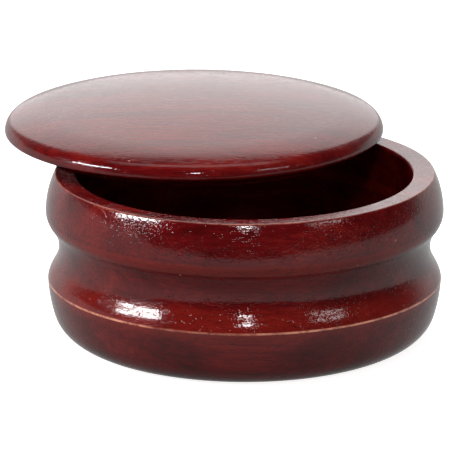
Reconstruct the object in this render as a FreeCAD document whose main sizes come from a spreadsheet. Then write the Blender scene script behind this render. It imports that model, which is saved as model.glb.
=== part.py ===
import FreeCAD, Part
import math
import os

import Sketcher

# Lidded shaving bowl, turned in wood: a bowl with two rounded bands and a cove between them,
# and a loose, slightly domed lid with a locating plug under it.
#
# Millimetres, +Z up. The origin is the centre of the bowl's base, on the bowl's own axis.
# The lid is drawn pushed aside, left and back, with its plug resting on the bowl's rim.

NAME = "shaving_bowl"
TOLERANCE = 1e-6

# alias, value, what it measures
DIMENSIONS = (
    ("bowl_height", 52.7, "base to rim"),
    ("foot_radius", 50.1, "flat part of the base"),
    ("corner_radius", 10.7, "rounding between base and wall"),
    ("wall_radius", 46.5, "bow of the lower band's wall, seen in section"),
    ("crest_radius", 62.2, "radius of the sharp line round the lower band"),
    ("crest_height", 18.7, "height of that line"),
    ("shoulder_radius", 11.6, "rounding above the sharp line"),
    ("flare_angle", 29.0, "slope between shoulder and cove, from upright, in degrees"),
    ("neck_radius", 58.6, "smallest radius, at the bottom of the cove"),
    ("cove_radius", 11.5, "hollow of the cove"),
    ("underbelly_radius", 6.8, "rounding of the upper band's lower side"),
    ("belly_radius", 62.7, "largest radius, on the upper band"),
    ("belly_height", 40.6, "height of the largest radius"),
    ("bow_radius", 28.4, "bow of the upper band from there to the rim"),
    ("bow_drop", 0.9, "centre of that bow below the largest radius"),
    ("mouth_radius", 52.7, "inside of the well"),
    ("mouth_round", 1.0, "rounding of the rim's inner edge"),
    ("floor_height", 10.0, "top of the well's floor"),
    ("floor_round", 6.0, "rounding between floor and well wall"),
    ("edge_break", 0.4, "softening of the bowl's two sharp outer edges"),
    ("lid_radius", 60.8, "largest radius of the lid"),
    ("lid_height", 15.2, "plug's underside to the top of the dome"),
    ("under_radius", 0.8, "rounding below the lid's widest circle"),
    ("nose_radius", 4.4, "rounding above that circle"),
    ("brow_radius", 54.0, "bow between the lid's edge and its dome"),
    ("dome_radius", 345.0, "bow of the lid's dome"),
    ("plug_radius", 51.9, "plug that drops into the mouth, with 0.8 clearance all round"),
    ("plug_depth", 4.3, "height of the plug below the lid's flange"),
    ("plug_chamfer", 0.6, "lead-in on the plug's lower edge"),
    ("lid_aside", -16.1, "lid's axis from the bowl's axis, along X"),
    ("lid_back", 32.4, "lid's axis from the bowl's axis, along Y"),
)


def make_sheet(doc):
    """Put the driving dimensions in a spreadsheet, one row each."""
    sheet = doc.addObject("Spreadsheet::Sheet", "Dims")
    for row, (alias, value, meaning) in enumerate(DIMENSIONS, start=1):
        sheet.set(f"A{row}", alias)
        sheet.set(f"B{row}", str(value))
        sheet.set(f"C{row}", meaning)
        sheet.setAlias(f"B{row}", alias)
    doc.recompute()
    return sheet


def polar(radius, degrees):
    """Vector of this length at this angle from +X, in the sketch plane."""
    angle = math.radians(degrees)
    return FreeCAD.Vector(radius * math.cos(angle), radius * math.sin(angle), 0)


def degrees_of(vector):
    return math.degrees(math.atan2(vector.y, vector.x))


def centre_by_distances(first, first_distance, second, second_distance):
    """Point at the given distances from two others, on the left of first -> second."""
    span = second - first
    gap = span.Length
    along = (first_distance ** 2 - second_distance ** 2 + gap ** 2) / (2 * gap)
    across = math.sqrt(first_distance ** 2 - along ** 2)
    unit = span / gap
    return first + unit * along + FreeCAD.Vector(-unit.y, unit.x, 0) * across


class Section:
    """Closed half section of a turned piece, drawn end to end as lines and arcs."""

    def __init__(self, body, name):
        plane = [f for f in body.Origin.OriginFeatures if f.Role == "XZ_Plane"][0]
        self.sketch = body.newObject("Sketcher::SketchObject", name)
        self.sketch.AttachmentSupport = (plane, [""])
        self.sketch.MapMode = "FlatFace"
        self.edges = []

    def line(self, start, end):
        index = self.sketch.addGeometry(Part.LineSegment(start, end), False)
        self.edges.append((index, 1, 2))
        return index

    def arc(self, centre, start, end):
        """Arc the short way round from start to end."""
        first = start - centre
        last = end - centre
        turns_left = first.cross(last).z > 0
        low, high = (first, last) if turns_left else (last, first)
        low_angle = math.radians(degrees_of(low))
        high_angle = math.radians(degrees_of(high))
        circle = Part.Circle(centre, FreeCAD.Vector(0, 0, 1), first.Length)
        index = self.sketch.addGeometry(Part.ArcOfCircle(circle, low_angle, high_angle), False)
        self.edges.append((index, 1, 2) if turns_left else (index, 2, 1))
        return index

    def join(self, smooth):
        """Join every edge to the next one, tangent where both are named in smooth."""
        following = self.edges[1:] + self.edges[:1]
        for (edge, _, end), (next_edge, start, _) in zip(self.edges, following):
            kind = "Tangent" if (edge, next_edge) in smooth else "Coincident"
            self.sketch.addConstraint(Sketcher.Constraint(kind, edge, end, next_edge, start))

    def start_of(self, edge):
        return [start for index, start, _ in self.edges if index == edge][0]

    def end_of(self, edge):
        return [end for index, _, end in self.edges if index == edge][0]

    def rule(self, kind, *where):
        """Add a constraint that has no dimension."""
        self.sketch.addConstraint(Sketcher.Constraint(kind, *where))

    def size(self, name, formula, kind, *where):
        """Add a dimension, named, and bound to a formula on the sheet."""
        index = self.sketch.addConstraint(Sketcher.Constraint(kind, *where))
        self.sketch.renameConstraint(index, name)
        self.sketch.setExpression(f"Constraints.{name}", formula)

    def radius(self, name, formula, edge, value):
        self.size(name, formula, "Radius", edge, value)

    def across(self, name, formula, edge, point, value):
        """Distance of a point from the axis."""
        self.size(name, formula, "DistanceX", -1, 1, edge, point, value)

    def up(self, name, formula, edge, point, value):
        """Height of a point above the base."""
        self.size(name, formula, "DistanceY", -1, 1, edge, point, value)


def turn(body, section):
    """Turn the closed section about the body's Z axis."""
    turning = body.newObject("PartDesign::Revolution", f"{body.Label}_turning")
    turning.Profile = section.sketch
    turning.ReferenceAxis = (section.sketch, ["V_Axis"])
    turning.Angle = 360
    body.Document.recompute()
    return turning


def circle_edge(shape, radius, height):
    """Name of the round edge of this radius at this height."""
    for number, edge in enumerate(shape.Edges, start=1):
        if not isinstance(edge.Curve, Part.Circle):
            continue
        level = edge.Curve.Center.z
        if abs(edge.Curve.Radius - radius) < TOLERANCE and abs(level - height) < TOLERANCE:
            return f"Edge{number}"
    raise RuntimeError(f"no round edge of radius {radius} at height {height}")


def make_bowl(doc, sheet):
    """The bowl: two rounded bands with a cove between them, and a straight-walled well."""
    body = doc.addObject("PartDesign::Body", "bowl")
    section = Section(body, "bowl_section")
    vector = FreeCAD.Vector

    base_middle = vector(0, 0, 0)
    foot = vector(sheet.foot_radius, 0, 0)
    corner_centre = vector(sheet.foot_radius, sheet.corner_radius, 0)
    crest = vector(sheet.crest_radius, sheet.crest_height, 0)
    wall_centre = centre_by_distances(
        corner_centre, sheet.wall_radius - sheet.corner_radius, crest, sheet.wall_radius)
    wall_start = corner_centre + polar(sheet.corner_radius, degrees_of(corner_centre - wall_centre))

    underbelly_centre = vector(sheet.belly_radius - sheet.underbelly_radius, sheet.belly_height, 0)
    reach = sheet.cove_radius + sheet.underbelly_radius
    cove_x = sheet.neck_radius + sheet.cove_radius
    drop = math.sqrt(reach ** 2 - (cove_x - underbelly_centre.x) ** 2)
    cove_centre = vector(cove_x, sheet.belly_height - drop, 0)
    cove_top = underbelly_centre + (cove_centre - underbelly_centre) * (sheet.underbelly_radius / reach)

    outward = polar(1, sheet.flare_angle)
    downhill = polar(1, sheet.flare_angle - 90)
    cove_foot = cove_centre - outward * sheet.cove_radius
    offset = crest - (cove_foot - outward * sheet.shoulder_radius)
    slack = math.sqrt(sheet.shoulder_radius ** 2 - offset.dot(outward) ** 2)
    shoulder_top = cove_foot + downhill * (offset.dot(downhill) - slack)
    shoulder_centre = shoulder_top - outward * sheet.shoulder_radius

    inset = math.sqrt((sheet.bow_radius - sheet.underbelly_radius) ** 2 - sheet.bow_drop ** 2)
    bow_centre = underbelly_centre - vector(inset, sheet.bow_drop, 0)
    bow_start = bow_centre + polar(sheet.bow_radius, degrees_of(underbelly_centre - bow_centre))
    rise = sheet.bowl_height - bow_centre.y
    rim_radius = bow_centre.x + math.sqrt(sheet.bow_radius ** 2 - rise ** 2)
    rim_outer = vector(rim_radius, sheet.bowl_height, 0)
    rim_inner = vector(sheet.mouth_radius + sheet.mouth_round, sheet.bowl_height, 0)
    mouth_centre = vector(rim_inner.x, sheet.bowl_height - sheet.mouth_round, 0)
    mouth = vector(sheet.mouth_radius, mouth_centre.y, 0)
    well_foot = vector(sheet.mouth_radius, sheet.floor_height + sheet.floor_round, 0)
    floor_centre = vector(sheet.mouth_radius - sheet.floor_round, well_foot.y, 0)
    floor_edge = vector(floor_centre.x, sheet.floor_height, 0)
    floor_middle = vector(0, sheet.floor_height, 0)

    base = section.line(base_middle, foot)
    corner = section.arc(corner_centre, foot, wall_start)
    wall = section.arc(wall_centre, wall_start, crest)
    shoulder = section.arc(shoulder_centre, crest, shoulder_top)
    flare = section.line(shoulder_top, cove_foot)
    cove = section.arc(cove_centre, cove_foot, cove_top)
    underbelly = section.arc(underbelly_centre, cove_top, bow_start)
    bow = section.arc(bow_centre, bow_start, rim_outer)
    rim = section.line(rim_outer, rim_inner)
    lip = section.arc(mouth_centre, rim_inner, mouth)
    well = section.line(mouth, well_foot)
    hollow = section.arc(floor_centre, well_foot, floor_edge)
    floor = section.line(floor_edge, floor_middle)
    axis = section.line(floor_middle, base_middle)

    section.join({(base, corner), (corner, wall), (shoulder, flare), (flare, cove), (cove, underbelly),
                  (underbelly, bow), (rim, lip), (lip, well), (well, hollow), (hollow, floor)})
    section.rule("Coincident", base, section.start_of(base), -1, 1)
    section.rule("Horizontal", base)
    section.rule("Horizontal", rim)
    section.rule("Vertical", well)
    section.rule("Horizontal", floor)
    section.rule("Vertical", axis)

    section.across("foot", "Dims.foot_radius", base, 2, foot.x)
    section.radius("corner", "Dims.corner_radius", corner, sheet.corner_radius)
    section.radius("wall", "Dims.wall_radius", wall, sheet.wall_radius)
    section.across("crest_out", "Dims.crest_radius", wall, section.end_of(wall), crest.x)
    section.up("crest_up", "Dims.crest_height", wall, section.end_of(wall), crest.y)
    section.radius("shoulder", "Dims.shoulder_radius", shoulder, sheet.shoulder_radius)
    section.size("flare", "90 + Dims.flare_angle", "Angle", flare, math.radians(90 + sheet.flare_angle))
    section.radius("cove", "Dims.cove_radius", cove, sheet.cove_radius)
    section.across("cove_out", "Dims.neck_radius + Dims.cove_radius", cove, 3, cove_centre.x)
    section.radius("underbelly", "Dims.underbelly_radius", underbelly, sheet.underbelly_radius)
    belly_inset = "Dims.belly_radius - Dims.underbelly_radius"
    section.across("belly_out", belly_inset, underbelly, 3, underbelly_centre.x)
    section.up("belly_up", "Dims.belly_height", underbelly, 3, underbelly_centre.y)
    section.up("bow_up", "Dims.belly_height - Dims.bow_drop", bow, 3, bow_centre.y)
    section.radius("bow", "Dims.bow_radius", bow, sheet.bow_radius)
    section.up("rim_up", "Dims.bowl_height", rim, 1, rim_outer.y)
    section.radius("lip", "Dims.mouth_round", lip, sheet.mouth_round)
    section.across("mouth_out", "Dims.mouth_radius", well, 2, well_foot.x)
    section.radius("hollow", "Dims.floor_round", hollow, sheet.floor_round)
    section.up("floor_up", "Dims.floor_height", floor, 2, floor_middle.y)

    turning = turn(body, section)
    softened = body.newObject("PartDesign::Fillet", "bowl_edges")
    sharp = [circle_edge(turning.Shape, ridge.x, ridge.y) for ridge in (crest, rim_outer)]
    softened.Base = (turning, sharp)
    softened.setExpression("Radius", "Dims.edge_break")
    doc.recompute()
    return body


def make_lid(doc, sheet):
    """The lid: a shallow dome with a rounded edge, and a plug that fits the bowl's mouth."""
    body = doc.addObject("PartDesign::Body", "lid")
    section = Section(body, "lid_section")
    vector = FreeCAD.Vector

    plug_middle = vector(0, 0, 0)
    plug_toe = vector(sheet.plug_radius - sheet.plug_chamfer, 0, 0)
    plug_side = vector(sheet.plug_radius, sheet.plug_chamfer, 0)
    plug_root = vector(sheet.plug_radius, sheet.plug_depth, 0)
    flange_edge = vector(sheet.lid_radius - sheet.under_radius, sheet.plug_depth, 0)
    widest = vector(sheet.lid_radius, sheet.plug_depth + sheet.under_radius, 0)
    under_centre = vector(flange_edge.x, widest.y, 0)
    nose_centre = vector(sheet.lid_radius - sheet.nose_radius, widest.y, 0)
    dome_middle = vector(0, sheet.lid_height, 0)
    dome_centre = vector(0, sheet.lid_height - sheet.dome_radius, 0)
    brow_centre = centre_by_distances(
        dome_centre, sheet.dome_radius - sheet.brow_radius,
        nose_centre, sheet.brow_radius - sheet.nose_radius)
    nose_top = nose_centre + polar(sheet.nose_radius, degrees_of(nose_centre - brow_centre))
    dome_edge = dome_centre + polar(sheet.dome_radius, degrees_of(brow_centre - dome_centre))

    underside = section.line(plug_middle, plug_toe)
    chamfer = section.line(plug_toe, plug_side)
    side = section.line(plug_side, plug_root)
    flange = section.line(plug_root, flange_edge)
    under = section.arc(under_centre, flange_edge, widest)
    nose = section.arc(nose_centre, widest, nose_top)
    brow = section.arc(brow_centre, nose_top, dome_edge)
    dome = section.arc(dome_centre, dome_edge, dome_middle)
    axis = section.line(dome_middle, plug_middle)

    section.join({(flange, under), (under, nose), (nose, brow), (brow, dome)})
    section.rule("Coincident", underside, section.start_of(underside), -1, 1)
    section.rule("Horizontal", underside)
    section.rule("Vertical", side)
    section.rule("Horizontal", flange)
    section.rule("Vertical", axis)
    section.rule("Horizontal", under, 3, nose, 3)
    section.rule("PointOnObject", dome, 3, -2)

    section.across("toe_out", "Dims.plug_radius - Dims.plug_chamfer", chamfer, 1, plug_toe.x)
    section.across("plug_out", "Dims.plug_radius", side, 1, plug_side.x)
    section.up("chamfer_up", "Dims.plug_chamfer", side, 1, plug_side.y)
    section.up("plug_up", "Dims.plug_depth", side, 2, plug_root.y)
    section.radius("under", "Dims.under_radius", under, sheet.under_radius)
    section.across("lid_out", "Dims.lid_radius", nose, section.start_of(nose), widest.x)
    section.radius("nose", "Dims.nose_radius", nose, sheet.nose_radius)
    section.radius("brow", "Dims.brow_radius", brow, sheet.brow_radius)
    section.radius("dome", "Dims.dome_radius", dome, sheet.dome_radius)
    section.up("dome_up", "Dims.lid_height", dome, section.end_of(dome), dome_middle.y)

    turn(body, section)
    body.setExpression(".Placement.Base.x", "Dims.lid_aside")
    body.setExpression(".Placement.Base.y", "Dims.lid_back")
    body.setExpression(".Placement.Base.z", "Dims.bowl_height")
    doc.recompute()
    return body


def check(doc, bodies):
    """Stop if anything in the document failed, or a piece isn't one sound solid."""
    for item in doc.Objects:
        if "Invalid" in item.State or "Error" in item.State:
            raise RuntimeError(f"{item.Label} failed: {item.State}")
    for sketch in doc.findObjects("Sketcher::SketchObject"):
        if not sketch.FullyConstrained:
            raise RuntimeError(f"{sketch.Label} isn't fully constrained")
    for body in bodies:
        shape = body.Shape
        if shape.isNull() or not shape.isValid() or len(shape.Solids) != 1:
            raise RuntimeError(f"{body.Label} isn't one valid solid")


def main():
    doc = FreeCAD.newDocument(NAME)
    sheet = make_sheet(doc)
    bodies = [make_bowl(doc, sheet), make_lid(doc, sheet)]
    check(doc, bodies)
    os.makedirs("parts", exist_ok=True)
    for body in bodies:
        body.Shape.exportStep(f"parts/{body.Label}.step")
        box = body.Shape.optimalBoundingBox()
        print(f"{body.Label}: {body.Shape.Volume / 1000:.1f} cm3, {box.XLength:.2f} x {box.YLength:.2f} "
              f"x {box.ZLength:.2f} mm, from z {box.ZMin:.2f}")


main()
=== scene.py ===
import math

import bpy
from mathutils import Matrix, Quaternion, Vector, noise


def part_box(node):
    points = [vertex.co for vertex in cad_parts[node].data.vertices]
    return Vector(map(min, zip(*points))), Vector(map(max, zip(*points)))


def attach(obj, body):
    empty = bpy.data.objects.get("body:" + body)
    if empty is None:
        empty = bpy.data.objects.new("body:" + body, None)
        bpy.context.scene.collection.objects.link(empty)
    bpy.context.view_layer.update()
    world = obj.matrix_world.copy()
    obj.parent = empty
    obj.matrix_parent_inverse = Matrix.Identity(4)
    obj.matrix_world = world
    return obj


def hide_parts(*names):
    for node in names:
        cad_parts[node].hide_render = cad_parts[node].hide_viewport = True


# A lidded shaving bowl, turned in wood, stained dark red and lacquered. Metres, +Z up,
# in the CAD model's frame: the origin is the centre of the bowl's base.

MM = 0.001

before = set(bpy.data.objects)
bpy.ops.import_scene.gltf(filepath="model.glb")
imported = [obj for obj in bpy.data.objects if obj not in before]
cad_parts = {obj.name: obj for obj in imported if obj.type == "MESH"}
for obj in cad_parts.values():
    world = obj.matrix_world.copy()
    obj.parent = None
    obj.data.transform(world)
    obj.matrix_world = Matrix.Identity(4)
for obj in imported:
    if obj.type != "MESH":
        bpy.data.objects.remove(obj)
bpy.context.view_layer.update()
bowl_low, bowl_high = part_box("bowl")
lid_low, lid_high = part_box("lid")

# Bowl section
BOWL_HEIGHT = bowl_high.z
BELLY_RADIUS = (bowl_high.x - bowl_low.x) / 2
BELLY_HEIGHT = 40.6 * MM
BOW_RADIUS = 28.4 * MM
BOW_DROP = 0.9 * MM
UNDERBELLY_RADIUS = 6.8 * MM
NECK_RADIUS = 58.6 * MM
COVE_RADIUS = 11.5 * MM
FLARE_ANGLE = 29.0
SHOULDER_RADIUS = 11.6 * MM
CREST_RADIUS = 62.2 * MM
CREST_HEIGHT = 18.7 * MM
WALL_BOW = 46.5 * MM
CORNER_RADIUS = 10.7 * MM
FOOT_RADIUS = 50.1 * MM
MOUTH_RADIUS = 52.7 * MM
MOUTH_ROUND = 1.0 * MM
RIM_FALL = 0.27 * MM
FLOOR_HEIGHT = 10.0 * MM
FLOOR_ROUND = 6.0 * MM

# Lid section, with heights above the plug's underside
LID_HEIGHT = lid_high.z - lid_low.z
LID_RADIUS = (lid_high.x - lid_low.x) / 2
LID_PLACE = Vector(((lid_low.x + lid_high.x) / 2, (lid_low.y + lid_high.y) / 2, lid_low.z))
UNDER_RADIUS = 0.8 * MM
NOSE_RADIUS = 4.4 * MM
BROW_RADIUS = 54.0 * MM
DOME_RADIUS = 345.0 * MM
PLUG_RADIUS = 51.9 * MM
PLUG_DEPTH = 4.3 * MM
PLUG_CHAMFER = 0.6 * MM

# Mesh
SEGMENTS = 360
STEP = 1.0 * MM
WIDE_STEP = 4.0 * MM
TURN_STEP = 7.0
EDGE_CUT = 0.40 * MM
EDGE_STEPS = 5
# Beside a softened corner, in cuts: where its extra ring lies, and how near the corner
# an old ring may stay
RING_AT = 1.5
KEPT_FROM = 1.6
TOLERANCE = 0.001 * MM

# How much each softened corner is lightened: stain rubbed off, and a painted highlight along the
# edge
CREST_WEAR_AND_GLINT = 1.0
RIM_WEAR_AND_GLINT = 0.30
PLUG_WEAR = 0.0

# Camera: distance in metres, drop in degrees, sensor and lens in millimetres
LOOK_AT = Vector((-6.18, 0, 34.74)) * MM
CAMERA_DISTANCE = 1.3
CAMERA_DROP = 16.59
SENSOR_WIDTH = 36.0
LENS = 329.7


# ---- Sections -------------------------------------------------------------------------

def polar(radius, degrees):
    angle = math.radians(degrees)
    return Vector((radius * math.cos(angle), radius * math.sin(angle)))


def degrees_of(vector):
    return math.degrees(math.atan2(vector.y, vector.x))


def centre_by_distances(first, first_distance, second, second_distance):
    """Point at the given distances from two others, on the left of first -> second."""
    span = second - first
    gap = span.length
    along = (first_distance ** 2 - second_distance ** 2 + gap ** 2) / (2 * gap)
    across = math.sqrt(first_distance ** 2 - along ** 2)
    unit = span / gap
    return first + unit * along + Vector((-unit.y, unit.x)) * across


def line(start, end, step=STEP):
    count = max(1, math.ceil((end - start).length / step))
    return [start.lerp(end, i / count) for i in range(count + 1)]


def arc(centre, start, end):
    """Points on the arc from start to end, the short way round."""
    radius = (start - centre).length
    first = degrees_of(start - centre)
    sweep = (degrees_of(end - centre) - first + 180) % 360 - 180
    length = abs(math.radians(sweep)) * radius
    count = math.ceil(max(length / STEP, abs(sweep) / TURN_STEP))
    return [centre + polar(radius, first + sweep * i / count) for i in range(count + 1)]


def shortened(run):
    """The run with EDGE_CUT taken off its end, and a ring set close before the new end."""
    kept = list(run)
    while (kept[-1] - kept[-2]).length <= KEPT_FROM * EDGE_CUT and len(kept) > 2:
        kept.pop(-2)
    unit = (kept[-2] - kept[-1]).normalized()
    corner = kept.pop()
    return kept + [corner + unit * EDGE_CUT * RING_AT, corner + unit * EDGE_CUT]


def section(runs, wear_and_glint_after):
    """Points of a section and how worn and glinting each is, from runs that meet end to end.

    The corner after each run named in wear_and_glint_after is rounded over, and worn and painted
    with a highlight by that share."""
    runs = [list(run) for run in runs]
    points = []
    for index, run in enumerate(runs):
        corner = run[-1]
        softened = index in wear_and_glint_after
        if softened:
            run = shortened(run)
            runs[index + 1] = shortened(runs[index + 1][::-1])[::-1]
        for point in run:
            if not points or (point - points[-1][0]).length > TOLERANCE:
                points.append((point, 0.0))
        if softened:
            start = run[-1]
            end = runs[index + 1][0]
            for i in range(1, EDGE_STEPS):
                share = i / EDGE_STEPS
                curve = start.lerp(corner, share).lerp(corner.lerp(end, share), share)
                points.append((curve, wear_and_glint_after[index]))
    return points


def bowl_section():
    foot = Vector((FOOT_RADIUS, 0))
    corner_centre = Vector((FOOT_RADIUS, CORNER_RADIUS))
    crest = Vector((CREST_RADIUS, CREST_HEIGHT))
    wall_centre = centre_by_distances(corner_centre, WALL_BOW - CORNER_RADIUS, crest, WALL_BOW)
    wall_start = corner_centre + polar(CORNER_RADIUS, degrees_of(corner_centre - wall_centre))

    underbelly_centre = Vector((BELLY_RADIUS - UNDERBELLY_RADIUS, BELLY_HEIGHT))
    reach = COVE_RADIUS + UNDERBELLY_RADIUS
    cove_x = NECK_RADIUS + COVE_RADIUS
    cove_drop = math.sqrt(reach ** 2 - (cove_x - underbelly_centre.x) ** 2)
    cove_centre = Vector((cove_x, BELLY_HEIGHT - cove_drop))
    cove_top = underbelly_centre.lerp(cove_centre, UNDERBELLY_RADIUS / reach)

    outward = polar(1, FLARE_ANGLE)
    downhill = polar(1, FLARE_ANGLE - 90)
    cove_foot = cove_centre - outward * COVE_RADIUS
    offset = crest - (cove_foot - outward * SHOULDER_RADIUS)
    slack = math.sqrt(SHOULDER_RADIUS ** 2 - offset.dot(outward) ** 2)
    shoulder_top = cove_foot + downhill * (offset.dot(downhill) - slack)
    shoulder_centre = shoulder_top - outward * SHOULDER_RADIUS

    inset = math.sqrt((BOW_RADIUS - UNDERBELLY_RADIUS) ** 2 - BOW_DROP ** 2)
    bow_centre = underbelly_centre - Vector((inset, BOW_DROP))
    bow_start = bow_centre + polar(BOW_RADIUS, degrees_of(underbelly_centre - bow_centre))
    rim_x = bow_centre.x + math.sqrt(BOW_RADIUS ** 2 - (BOWL_HEIGHT - bow_centre.y) ** 2)
    rim_outer = Vector((rim_x, BOWL_HEIGHT))
    # The rim's top falls a little towards the mouth
    rim_inner = Vector((MOUTH_RADIUS + MOUTH_ROUND, BOWL_HEIGHT - RIM_FALL))
    mouth_centre = rim_inner - Vector((0, MOUTH_ROUND))
    mouth = Vector((MOUTH_RADIUS, mouth_centre.y))
    well_foot = Vector((MOUTH_RADIUS, FLOOR_HEIGHT + FLOOR_ROUND))
    floor_centre = Vector((MOUTH_RADIUS - FLOOR_ROUND, well_foot.y))
    floor_edge = Vector((floor_centre.x, FLOOR_HEIGHT))

    runs = [
        line(Vector((0, 0)), foot, WIDE_STEP),
        arc(corner_centre, foot, wall_start),
        arc(wall_centre, wall_start, crest),
        arc(shoulder_centre, crest, shoulder_top),
        line(shoulder_top, cove_foot),
        arc(cove_centre, cove_foot, cove_top),
        arc(underbelly_centre, cove_top, bow_start),
        arc(bow_centre, bow_start, rim_outer),
        line(rim_outer, rim_inner),
        arc(mouth_centre, rim_inner, mouth),
        line(mouth, well_foot, WIDE_STEP),
        arc(floor_centre, well_foot, floor_edge),
        line(floor_edge, Vector((0, FLOOR_HEIGHT)), WIDE_STEP),
    ]
    crest_run = 2
    rim_run = 7
    return section(runs, {crest_run: CREST_WEAR_AND_GLINT, rim_run: RIM_WEAR_AND_GLINT})


def lid_section():
    plug_toe = Vector((PLUG_RADIUS - PLUG_CHAMFER, 0))
    plug_side = Vector((PLUG_RADIUS, PLUG_CHAMFER))
    plug_root = Vector((PLUG_RADIUS, PLUG_DEPTH))
    flange_edge = Vector((LID_RADIUS - UNDER_RADIUS, PLUG_DEPTH))
    widest = Vector((LID_RADIUS, PLUG_DEPTH + UNDER_RADIUS))
    under_centre = Vector((flange_edge.x, widest.y))
    nose_centre = Vector((LID_RADIUS - NOSE_RADIUS, widest.y))
    dome_middle = Vector((0, LID_HEIGHT))
    dome_centre = Vector((0, LID_HEIGHT - DOME_RADIUS))
    brow_centre = centre_by_distances(
        dome_centre, DOME_RADIUS - BROW_RADIUS, nose_centre, BROW_RADIUS - NOSE_RADIUS)
    nose_top = nose_centre + polar(NOSE_RADIUS, degrees_of(nose_centre - brow_centre))
    dome_edge = dome_centre + polar(DOME_RADIUS, degrees_of(brow_centre - dome_centre))

    runs = [
        line(Vector((0, 0)), plug_toe, WIDE_STEP),
        line(plug_toe, plug_side),
        line(plug_side, plug_root),
        line(plug_root, flange_edge),
        arc(under_centre, flange_edge, widest),
        arc(nose_centre, widest, nose_top),
        arc(brow_centre, nose_top, dome_edge),
        arc(dome_centre, dome_edge, dome_middle),
    ]
    plug_run = 2
    return section(runs, {plug_run: PLUG_WEAR})


# ---- Turned meshes --------------------------------------------------------------------

# Hand sanding leaves a turned surface slightly uneven: always below the true surface
SANDING_DEPTH = 0.05 * MM
SANDING_WAVE = 16.0 * MM
SANDING_SQUASH = 1.8


def sanded(point, seed):
    """How far the sanded surface lies below the true one at this point."""
    where = Vector((point.x, point.y, point.z * SANDING_SQUASH)) / SANDING_WAVE
    return SANDING_DEPTH * (0.5 + 0.5 * noise.noise(where + Vector((seed, 0, 0))))


def profile_normals(points):
    """Outward normal of the section at each point, from its neighbours."""
    normals = []
    for index in range(len(points)):
        before = points[max(index - 1, 0)][0]
        after = points[min(index + 1, len(points) - 1)][0]
        run = (after - before).normalized()
        normals.append(Vector((run.y, -run.x)))
    return normals


def turned(name, points, rests_at, seed):
    """Mesh object made by turning a section about Z.

    Flat faces at the heights in rests_at aren't sanded uneven."""
    vertices = []
    wear_and_glint = []
    rings = []
    for (point, worn_and_glinting), normal in zip(points, profile_normals(points)):
        true_face = any(abs(point.y - level) < TOLERANCE for level in rests_at)
        count = 1 if point.x < TOLERANCE else SEGMENTS
        rings.append(range(len(vertices), len(vertices) + count))
        for i in range(count):
            angle = 2 * math.pi * i / SEGMENTS
            around = Vector((math.cos(angle), math.sin(angle), 0))
            place = around * point.x + Vector((0, 0, point.y))
            if not true_face:
                place -= (around * normal.x + Vector((0, 0, normal.y))) * sanded(place, seed)
            vertices.append(place)
            wear_and_glint.append(worn_and_glinting)
    faces = []
    for lower, upper in zip(rings, rings[1:]):
        for i in range(SEGMENTS):
            j = (i + 1) % SEGMENTS
            corners = ((lower, i), (lower, j), (upper, j), (upper, i))
            # Next to the axis two corners are one point, which leaves a triangle
            faces.append(list(dict.fromkeys(ring[k % len(ring)] for ring, k in corners)))
    mesh = bpy.data.meshes.new(name)
    mesh.from_pydata(vertices, [], faces)
    # Per point: share of stain rubbed off the edges, with a painted highlight along them
    mesh.attributes.new("wear_and_glint", "FLOAT", "POINT").data.foreach_set("value", wear_and_glint)
    mesh.polygons.foreach_set("use_smooth", [True] * len(faces))
    mesh.update()
    piece = bpy.data.objects.new(name, mesh)
    bpy.context.scene.collection.objects.link(piece)
    return piece


# ---- Wood -----------------------------------------------------------------------------

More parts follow.
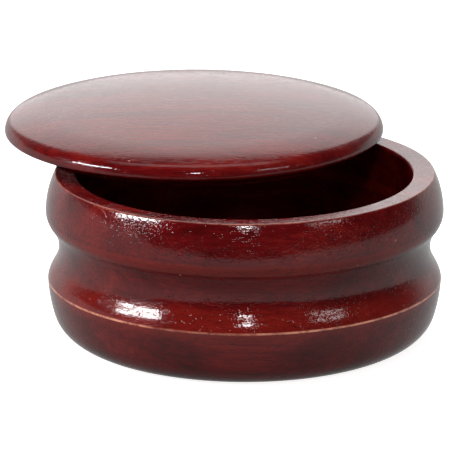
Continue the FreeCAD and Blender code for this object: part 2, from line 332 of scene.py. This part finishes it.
class Nodes:
    """Short calls for the nodes of one material or world."""

    def __init__(self, material):
        material.use_nodes = True
        self.tree = material.node_tree
        self.tree.nodes.clear()

    def add(self, kind, **settings):
        node = self.tree.nodes.new(kind)
        for key, value in settings.items():
            setattr(node, key, value)
        return node

    def link(self, source, target):
        self.tree.links.new(source, target)

    def mapped(self, coordinates, scale, shift):
        node = self.add("ShaderNodeMapping")
        node.inputs["Scale"].default_value = scale
        node.inputs["Location"].default_value = shift
        self.link(coordinates, node.inputs["Vector"])
        return node.outputs["Vector"]

    def noise(self, coordinates, scale, detail, roughness, distortion=0.0):
        node = self.add("ShaderNodeTexNoise")
        node.inputs["Scale"].default_value = scale
        node.inputs["Detail"].default_value = detail
        node.inputs["Roughness"].default_value = roughness
        node.inputs["Distortion"].default_value = distortion
        self.link(coordinates, node.inputs["Vector"])
        return node.outputs["Fac"]

    def grain(self, coordinates, shift, along, **pattern):
        """Noise moved by shift, and drawn out along X where along is less than 1."""
        return self.noise(self.mapped(coordinates, (along, 1.0, 1.0), shift), **pattern)

    def between(self, value, low, high, low_out=0.0, high_out=1.0):
        """Value moved from low..high to low_out..high_out, with a smooth start and end."""
        node = self.add("ShaderNodeMapRange", interpolation_type="SMOOTHSTEP")
        node.inputs["From Min"].default_value = low
        node.inputs["From Max"].default_value = high
        node.inputs["To Min"].default_value = low_out
        node.inputs["To Max"].default_value = high_out
        self.link(value, node.inputs["Value"])
        return node.outputs["Result"]

    def math(self, operation, first, second):
        node = self.add("ShaderNodeMath", operation=operation)
        for socket, value in zip(node.inputs, (first, second)):
            if isinstance(value, (int, float)):
                socket.default_value = value
            else:
                self.link(value, socket)
        return node.outputs["Value"]

    def spots(self, coordinates, scale, edge, picked):
        """Round spots, at most one in a cell.

        edge holds the distances from a cell's centre at which its spot starts and is full. picked
        holds the least of the cell's random shade for a faint spot, and for a full one."""
        cells = self.add("ShaderNodeTexVoronoi", feature="F1")
        cells.inputs["Scale"].default_value = scale
        self.link(coordinates, cells.inputs["Vector"])
        chosen = self.add("ShaderNodeSeparateColor")
        self.link(cells.outputs["Color"], chosen.inputs["Color"])
        return self.math("MULTIPLY", self.between(cells.outputs["Distance"], *edge),
                         self.between(chosen.outputs["Red"], *picked))

    def ramp(self, factor, stops):
        node = self.add("ShaderNodeValToRGB")
        elements = node.color_ramp.elements
        while len(elements) < len(stops):
            elements.new(1.0)
        for element, (place, colour) in zip(elements, stops):
            element.position = place
            element.color = (*colour, 1.0)
        self.link(factor, node.inputs["Fac"])
        return node.outputs["Color"]

    def mix(self, factor, first, second):
        """Mix of two colours, each a socket or three numbers."""
        node = self.add("ShaderNodeMix", data_type="RGBA", blend_type="MIX")
        self.link(factor, node.inputs["Factor"])
        for name, colour in (("A", first), ("B", second)):
            socket = [s for s in node.inputs if s.name == name and s.type == "RGBA"][0]
            if isinstance(colour, tuple):
                socket.default_value = (*colour, 1.0)
            else:
                self.link(colour, socket)
        return [s for s in node.outputs if s.type == "RGBA"][0]

    def bump(self, height, distance, normal=None):
        node = self.add("ShaderNodeBump")
        node.inputs["Strength"].default_value = 1.0
        node.inputs["Distance"].default_value = distance
        self.link(height, node.inputs["Height"])
        if normal is not None:
            self.link(normal, node.inputs["Normal"])
        return node.outputs["Normal"]


# Colours
STAIN_DEEP = (0.070, 0.0012, 0.0016)
STAIN_MID = (0.132, 0.0026, 0.0036)
STAIN_BRIGHT = (0.235, 0.012, 0.008)
# Lighter red painted where light falls on the bowl's bands
LIT_BAND_TONE = (0.330, 0.022, 0.012)
PORE = (0.016, 0.0008, 0.0010)
# Bare wood at the worn edges, bright enough to stand as a painted highlight there too
BARE_WOOD_AND_GLINT = (0.92, 0.36, 0.23)
FLECK = (0.75, 0.33, 0.24)

# Noise patterns: scale is in cells per metre across the grain, and along is the share of it
# that is left along the grain
RINGS = {"along": 0.05, "scale": 150.0, "detail": 2.0, "roughness": 0.5, "distortion": 0.4}
FIBRES = {"along": 0.045, "scale": 900.0, "detail": 4.0, "roughness": 0.6}
PORES = {"along": 0.07, "scale": 2600.0, "detail": 1.0, "roughness": 0.5}
BLOTCHES = {"along": 0.6, "scale": 42.0, "detail": 3.0, "roughness": 0.55, "distortion": 0.3}
# The next two break up the worn edges and their painted highlight
GLINT_AND_WEAR_STRETCHES = {"along": 1.0, "scale": 32.0, "detail": 1.0, "roughness": 0.5}
GLINT_AND_WEAR_PATCHES = {"scale": 260.0, "detail": 3.0, "roughness": 0.7}
PEEL = {"scale": 1300.0, "detail": 2.0, "roughness": 0.6}

# Spots: edge and picked are as in Nodes.spots
FLECKS = {"scale": 260.0, "edge": (0.10, 0.055), "picked": (0.80, 0.90)}
NIBS = {"scale": 1150.0, "edge": (0.50, 0.05), "picked": (0.62, 0.97)}

# Share of each pattern in the stain's tone, and the stain at three tones
BLOTCH_SHARE = 0.26
RING_SHARE = 0.38
FIBRE_SHARE = 0.36
STAIN_TONES = ((0.36, STAIN_DEEP), (0.50, STAIN_MID), (0.66, STAIN_BRIGHT))

# Ranges: from low and high in a pattern, to low and high in what it drives
PORE_DARKNESS = (0.60, 0.72, 0.0, 0.55)
PORE_DEPTH = (0.66, 0.54)
PATCH_GLINT_AND_WEAR = (0.32, 0.60, 0.22, 1.0)
STRETCH_GLINT_AND_WEAR = (0.42, 0.60, 0.38, 1.0)
WOOD_ROUGHNESS = (0.3, 0.7, 0.42, 0.56)

FLECK_PALENESS = 0.6
GRAIN_RELIEF = 0.014 * MM
LACQUER_ROUGHNESS = 0.04
LACQUER_IOR = 1.5


def stained_wood(name, shift, peel_height, nib_height, painted_light_bands=()):
    """Fine-grained wood, grain along X, under a dark red stain and a glossy lacquer.

    shift moves the grain. peel_height and nib_height are how uneven the lacquer is.
    painted_light_bands holds (low, high, fade, amount): heights of bands painted lighter where
    light falls."""
    material = bpy.data.materials.new(name)
    nodes = Nodes(material)
    place = nodes.add("ShaderNodeTexCoord").outputs["Object"]

    # Grain runs along X, so features are long that way and narrow across it
    rings, fibres, pores, blotches = [
        nodes.grain(place, shift, **pattern) for pattern in (RINGS, FIBRES, PORES, BLOTCHES)]

    tone = nodes.math("ADD", nodes.math("MULTIPLY", blotches, BLOTCH_SHARE),
                      nodes.math("MULTIPLY", rings, RING_SHARE))
    tone = nodes.math("ADD", tone, nodes.math("MULTIPLY", fibres, FIBRE_SHARE))
    colour = nodes.ramp(tone, STAIN_TONES)
    height = nodes.add("ShaderNodeSeparateXYZ")
    nodes.link(place, height.inputs["Vector"])
    # Lighter colour painted in bands where light falls
    for low, high, fade, amount in painted_light_bands:
        inside = nodes.math("MULTIPLY", nodes.between(height.outputs["Z"], low - fade, low),
                            nodes.between(height.outputs["Z"], high + fade, high, 0.0, amount))
        colour = nodes.mix(inside, colour, LIT_BAND_TONE)
    colour = nodes.mix(nodes.between(pores, *PORE_DARKNESS), colour, PORE)

    # Pale flecks where the lacquer caught dust or the stain missed
    spot = nodes.spots(place, **FLECKS)
    colour = nodes.mix(nodes.math("MULTIPLY", spot, FLECK_PALENESS), colour, FLECK)

    # Stain rubbed thin along the sharp edges, and a painted highlight along them
    worn_and_glinting = nodes.add("ShaderNodeAttribute", attribute_name="wear_and_glint").outputs["Fac"]
    patchy = nodes.between(nodes.noise(place, **GLINT_AND_WEAR_PATCHES), *PATCH_GLINT_AND_WEAR)
    stretches = nodes.between(nodes.grain(place, shift, **GLINT_AND_WEAR_STRETCHES), *STRETCH_GLINT_AND_WEAR)
    rubbed_and_glinting = nodes.math("MULTIPLY", nodes.math("MULTIPLY", worn_and_glinting, patchy), stretches)
    colour = nodes.mix(rubbed_and_glinting, colour, BARE_WOOD_AND_GLINT)

    # The lacquer follows the grain a little, and has a peel of its own
    relief = nodes.math("ADD", fibres, nodes.between(pores, *PORE_DEPTH))
    grain_bump = nodes.bump(relief, GRAIN_RELIEF)
    peel = nodes.noise(place, **PEEL)
    lacquer_normal = nodes.bump(peel, peel_height, grain_bump)

    # Dust nibs under the lacquer, which glint near the highlights
    nib = nodes.spots(place, **NIBS)
    lacquer_normal = nodes.bump(nib, nib_height, lacquer_normal)

    shader = nodes.add("ShaderNodeBsdfPrincipled")
    nodes.link(colour, shader.inputs["Base Color"])
    nodes.link(nodes.between(fibres, *WOOD_ROUGHNESS), shader.inputs["Roughness"])
    nodes.link(grain_bump, shader.inputs["Normal"])
    nodes.link(lacquer_normal, shader.inputs["Coat Normal"])
    shader.inputs["Specular IOR Level"].default_value = 0.0
    shader.inputs["Coat Weight"].default_value = 1.0
    shader.inputs["Coat Roughness"].default_value = LACQUER_ROUGHNESS
    shader.inputs["Coat IOR"].default_value = LACQUER_IOR
    output = nodes.add("ShaderNodeOutputMaterial")
    nodes.link(shader.outputs["BSDF"], output.inputs["Surface"])
    return material


# ---- Pieces ---------------------------------------------------------------------------

BASE_LEVEL = 0.0

# Painted light on the bowl: from above, just over the sharp line, and a reflection under the upper
# band
PAINTED_LIGHT_BANDS = (
    (CREST_HEIGHT, CREST_HEIGHT + 4 * MM, 4 * MM, 0.32),
    (BELLY_HEIGHT - 3.5 * MM, BELLY_HEIGHT - 1 * MM, 1.0 * MM, 0.35),
)


def make_bowl():
    bowl = turned("bowl_turned", bowl_section(), rests_at=(BASE_LEVEL, BOWL_HEIGHT), seed=7.0)
    wood = stained_wood("bowl_stained_wood", shift=(0.0, 0.0, 0.0), peel_height=0.034 * MM,
                        nib_height=0.07 * MM, painted_light_bands=PAINTED_LIGHT_BANDS)
    bowl.data.materials.append(wood)
    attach(bowl, "bowl")
    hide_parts("bowl")


def make_lid():
    lid = turned("lid_turned", lid_section(), rests_at=(BASE_LEVEL,), seed=11.0)
    lid.location = LID_PLACE
    wood = stained_wood("lid_stained_wood", shift=(0.37, 0.21, 0.13), peel_height=0.012 * MM,
                        nib_height=0.03 * MM)
    lid.data.materials.append(wood)
    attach(lid, "lid")
    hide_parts("lid")


# ---- Studio ---------------------------------------------------------------------------

FLOOR_SIZE = 8.0
FLOOR_TONE = (0.80, 0.80, 0.80)
FLOOR_ROUGHNESS = 0.9
FLOOR_LIFT = 0.90
WHITE = (1.0, 1.0, 1.0, 1.0)

# Radiances of the studio's parts, as the lacquer reflects them
BACKDROP_LOW = 1.62
BACKDROP_HIGH = 1.70
BACKDROP_TAPER = 0.4
SURROUND = 0.20
SURROUND_LOW = 0.75
OVERHEAD = 1.20
DARK = 0.04
TABLE_FAR = 0.66
TABLE_NEAR = 0.25
TABLE_RISE = 0.20
TABLE_DIP = 0.09
SEEN_BACKDROP = 1.05

# Where those parts begin and end in the unit direction of sight: up along +Z, back along +Y,
# side along +X
BACKDROP_UP = (0.30, 0.66)
BACKDROP_EDGE = (0.91, 1.01)
SURROUND_UP = (0.32, 0.12)
SURROUND_BACK = (0.30, 0.75)
PANEL_FRONT_EDGE = (-0.12, -0.02)
PANEL_BACK_EDGE = (0.40, 0.28)
PANEL_UP = (0.86, 0.93)
TABLE_UP = (-0.95, -0.02)
RISE_SIDE = (-0.78, -0.90)
DIP_BACK = (-0.86, -0.95)
HORIZON_UP = (-0.02, 0.02)


def make_floor():
    """White paper that takes the shadows. The table that the wood reflects is in the world."""
    half = FLOOR_SIZE / 2
    mesh = bpy.data.meshes.new("floor")
    corners = [(-half, -half, 0), (half, -half, 0), (half, half, 0), (-half, half, 0)]
    mesh.from_pydata(corners, [], [(0, 1, 2, 3)])
    floor = bpy.data.objects.new("floor", mesh)
    floor.visible_glossy = False
    floor.visible_diffuse = False
    bpy.context.scene.collection.objects.link(floor)
    material = bpy.data.materials.new("floor_paper")
    material.use_nodes = True
    shader = material.node_tree.nodes["Principled BSDF"]
    shader.inputs["Base Color"].default_value = (*FLOOR_TONE, 1.0)
    shader.inputs["Roughness"].default_value = FLOOR_ROUGHNESS
    shader.inputs["Specular IOR Level"].default_value = 0.0
    shader.inputs["Emission Color"].default_value = WHITE
    shader.inputs["Emission Strength"].default_value = FLOOR_LIFT
    mesh.materials.append(material)


def make_world():
    """A pale backdrop behind, a pale table, a soft panel overhead, and a dark studio elsewhere."""
    world = bpy.data.worlds.new("studio")
    bpy.context.scene.world = world
    nodes = Nodes(world)
    direction = nodes.add("ShaderNodeSeparateXYZ")
    nodes.link(nodes.add("ShaderNodeTexCoord").outputs["Generated"], direction.inputs["Vector"])
    side = direction.outputs["X"]
    back = direction.outputs["Y"]
    up = direction.outputs["Z"]

    # The backdrop is widest low down and narrows towards its top
    backdrop = nodes.between(up, *BACKDROP_UP, BACKDROP_LOW, BACKDROP_HIGH)
    inside = nodes.math("ADD", back, nodes.math("MULTIPLY", up, BACKDROP_TAPER))
    backdrop = nodes.math("MULTIPLY", backdrop, nodes.between(inside, *BACKDROP_EDGE))
    low_down = nodes.between(up, *SURROUND_UP, SURROUND, SURROUND_LOW)
    surround = nodes.math("MULTIPLY", nodes.between(back, *SURROUND_BACK), low_down)
    surround = nodes.math("ADD", surround, DARK)
    panel = nodes.math("MULTIPLY", nodes.between(back, *PANEL_FRONT_EDGE),
                       nodes.between(back, *PANEL_BACK_EDGE))
    panel = nodes.math("MULTIPLY", panel, nodes.between(up, *PANEL_UP, 0.0, OVERHEAD))
    above = nodes.math("ADD", nodes.math("MAXIMUM", backdrop, surround), panel)
    table = nodes.between(up, *TABLE_UP, TABLE_NEAR, TABLE_FAR)
    # On the left the table's paper curves up, and straight in front the table ends sooner
    rise = nodes.between(side, *RISE_SIDE, 0.0, TABLE_RISE)
    dip = nodes.between(back, *DIP_BACK, 0.0, TABLE_DIP)
    edge = nodes.math("SUBTRACT", rise, dip)
    horizon = nodes.between(nodes.math("SUBTRACT", up, edge), *HORIZON_UP)
    strength = nodes.math("ADD", nodes.math("MULTIPLY", above, horizon),
                          nodes.math("MULTIPLY", table, nodes.math("SUBTRACT", 1.0, horizon)))

    lit = nodes.add("ShaderNodeBackground")
    nodes.link(strength, lit.inputs["Strength"])
    seen = nodes.add("ShaderNodeBackground")
    seen.inputs["Strength"].default_value = SEEN_BACKDROP
    for background in (lit, seen):
        background.inputs["Color"].default_value = WHITE
    choice = nodes.add("ShaderNodeMixShader")
    nodes.link(nodes.add("ShaderNodeLightPath").outputs["Is Camera Ray"], choice.inputs["Fac"])
    nodes.link(lit.outputs["Background"], choice.inputs[1])
    nodes.link(seen.outputs["Background"], choice.inputs[2])
    output = nodes.add("ShaderNodeOutputWorld")
    nodes.link(choice.outputs["Shader"], output.inputs["Surface"])


LIGHT_DISTANCE = 1.2

# Softboxes: angles in degrees, sizes in metres
SOFTBOXES = {
    "left_softbox": {"azimuth": -68, "elevation": 27, "roll": 20,
                     "width": 0.52, "height": 0.070, "radiance": 66.0},
    "front_light": {"azimuth": 1, "elevation": 34.0, "roll": 0,
                    "width": 0.11, "height": 0.075, "radiance": 50.0},
    "right_light": {"azimuth": 52, "elevation": 30, "roll": -8,
                    "width": 0.38, "height": 0.06, "radiance": 9.0},
    # Too diffuse to leave a mark in the lacquer
    "fill_light": {"azimuth": 12, "elevation": 76, "roll": 0,
                   "width": 0.60, "height": 0.60, "radiance": 6.5, "in_lacquer": False},
}


def make_softbox(name, azimuth, elevation, roll, width, height, radiance, in_lacquer=True):
    """Rectangular light aimed at the object. Azimuth is from straight in front, to the right."""
    across = math.radians(azimuth)
    up = math.radians(elevation)
    direction = Vector((
        math.sin(across) * math.cos(up),
        -math.cos(across) * math.cos(up),
        math.sin(up),
    ))
    light = bpy.data.lights.new(name, "AREA")
    light.shape = "RECTANGLE"
    light.size = width
    light.size_y = height
    light.energy = radiance * math.pi * width * height
    softbox = bpy.data.objects.new(name, light)
    softbox.location = LOOK_AT + direction * LIGHT_DISTANCE
    turn = Quaternion(direction, math.radians(roll)) @ direction.to_track_quat("Z", "Y")
    softbox.rotation_euler = turn.to_euler()
    softbox.visible_camera = False
    softbox.visible_glossy = in_lacquer
    bpy.context.scene.collection.objects.link(softbox)


def make_camera():
    drop = math.radians(CAMERA_DROP)
    camera = bpy.data.cameras.new("camera")
    camera.sensor_width = SENSOR_WIDTH
    camera.lens = LENS
    holder = bpy.data.objects.new("camera", camera)
    holder.location = LOOK_AT + Vector((0, -math.cos(drop), math.sin(drop))) * CAMERA_DISTANCE
    holder.rotation_euler = (math.pi / 2 - drop, 0, 0)
    bpy.context.scene.collection.objects.link(holder)
    bpy.context.scene.camera = holder


make_bowl()
make_lid()
make_floor()
make_world()
for name, settings in SOFTBOXES.items():
    make_softbox(name, **settings)
make_camera()
bpy.context.scene.view_settings.view_transform = "Standard"
